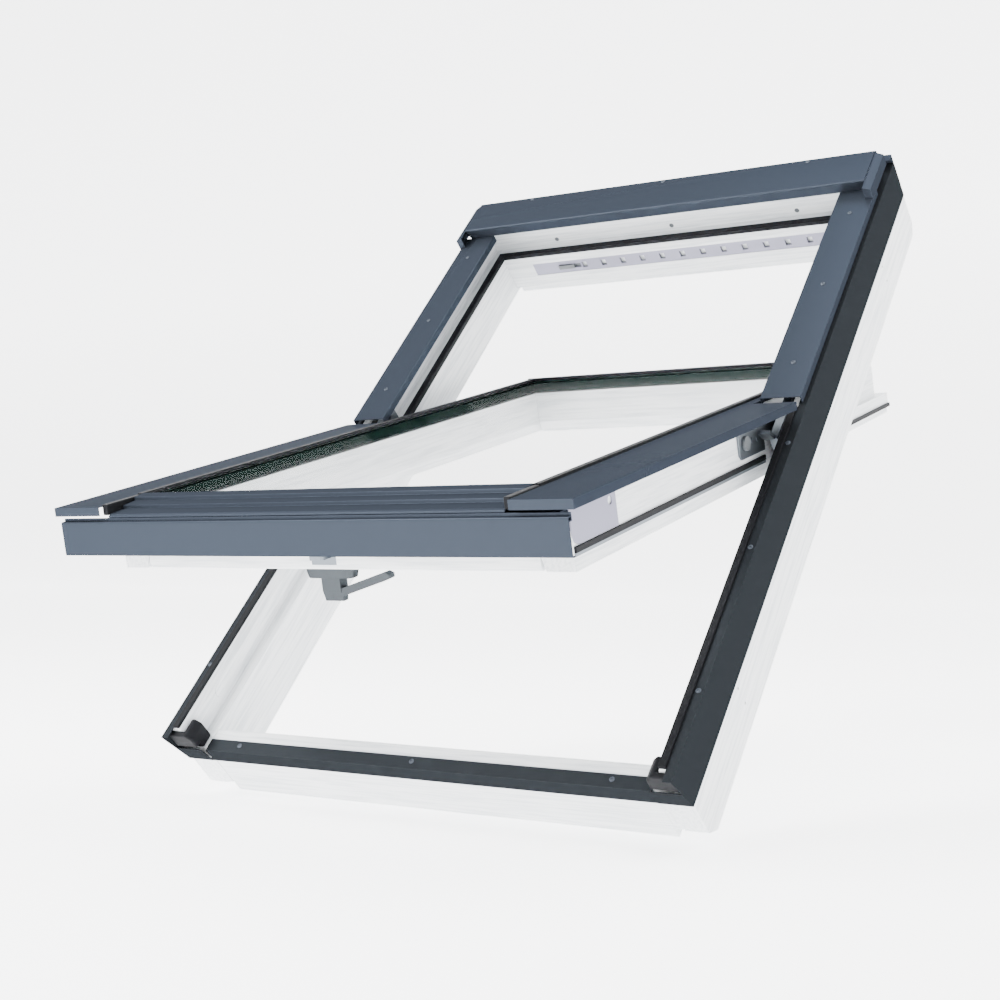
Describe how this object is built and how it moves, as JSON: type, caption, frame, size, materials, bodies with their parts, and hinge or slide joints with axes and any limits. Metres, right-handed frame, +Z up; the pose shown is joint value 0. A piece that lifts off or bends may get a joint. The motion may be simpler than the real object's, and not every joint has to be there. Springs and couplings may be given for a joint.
{
  "type": "centre-pivot roof window",
  "caption": "Centre-pivot roof window with white timber frame, double glazing and grey aluminium cladding, standing at roof pitch with its sash open.",
  "frame": {"origin": "middle of the lower outer face of the frame's sill timber", "axes": "+X across the window to its right as seen from outside, +Z up, +Y level and into the building; the frame leans back at the roof pitch of 47 degrees"},
  "size_m": [0.7824, 1.1222, 0.9693],
  "materials": {
    "white_paint": "satin white lacquer on timber",
    "black_rubber": "matt",
    "grey_cladding": "semi-gloss coated aluminium",
    "plated_steel": "zinc plated",
    "pale_coated_metal": "satin",
    "glass": "clear",
    "grey_plastic": "satin"
  },
  "bodies": {
    "frame": {"frame_head": "white_paint", "frame_sill": "white_paint", "frame_jamb_left": "white_paint", "frame_jamb_right": "white_paint", "frame_seal": "black_rubber", "flashing_seals": "black_rubber", "side_flashing_left": "grey_cladding", "side_flashing_right": "grey_cladding", "head_flashing": "grey_cladding", "sill_cover": "grey_cladding", "corner_cap_left": "black_rubber", "corner_cap_right": "black_rubber", "upper_cover_left": "grey_cladding", "upper_cover_right": "grey_cladding", "cover_clips": "black_rubber", "hood": "grey_cladding", "hood_end_left": "grey_cladding", "hood_end_right": "grey_cladding", "hood_brackets": "black_rubber", "cladding_screws": "plated_steel", "jamb_plugs": "white_paint", "head_plugs": "grey_plastic", "track_plate_left": "plated_steel", "track_plate_right": "plated_steel", "strike_plate": "plated_steel", "vent_grille": "pale_coated_metal"},
    "sash": {"sash_stile_left": "white_paint", "sash_stile_right": "white_paint", "sash_top_rail": "white_paint", "sash_bottom_rail": "white_paint", "outer_pane": "glass", "inner_pane": "glass", "spacer_bar": "plated_steel", "setting_blocks": "black_rubber", "glazing_gasket": "black_rubber", "sash_top_cover": "grey_cladding", "upper_trim_left": "grey_cladding", "upper_trim_right": "grey_cladding", "sash_top_gasket": "black_rubber", "drain_profile": "grey_cladding", "drain_end_blocks": "black_rubber", "front_carrier": "grey_cladding", "sash_front_cover": "grey_cladding", "sash_side_cover_left": "grey_cladding", "sash_side_cover_right": "grey_cladding", "side_plate_left": "pale_coated_metal", "side_plate_right": "pale_coated_metal", "sash_side_seals": "black_rubber", "seal_lips": "plated_steel", "hinge_arm_left": "plated_steel", "hinge_arm_right": "plated_steel", "friction_discs": "grey_plastic", "sash_screws": "plated_steel", "lock_case": "plated_steel", "handle_base": "grey_plastic"},
    "handle": {"handle_lever": "grey_plastic", "handle_spindle": "plated_steel"},
    "latch": {"latch_bolt": "plated_steel"},
    "vent": {"vent_slider": "white_paint"}
  },
  "joints": [
    {"name": "sash_pivot", "type": "hinge", "parent": "frame", "child": "sash", "pos_m": [0, 0.31753, 0.52908], "axis": [-1, 0, 0], "range_deg": [-33.4, 46.6]},
    {"name": "handle_turn", "type": "hinge", "parent": "sash", "child": "handle", "pos_m": [-0.008, -0.18481, 0.28563], "axis": [0, -0.2351, 0.972], "range_deg": [0, 90]},
    {"name": "latch_slide", "type": "slide", "parent": "sash", "child": "latch", "axis": [0, 0.972, 0.2351], "range_m": [0, 0.012]},
    {"name": "vent_slide", "type": "slide", "parent": "frame", "child": "vent", "axis": [1, 0, 0], "range_m": [0, 0.012]}
  ],
  "couplings": [
    {"joint": "latch_slide", "follows": "handle_turn", "m_per_rad": 0.0076387}
  ]
}
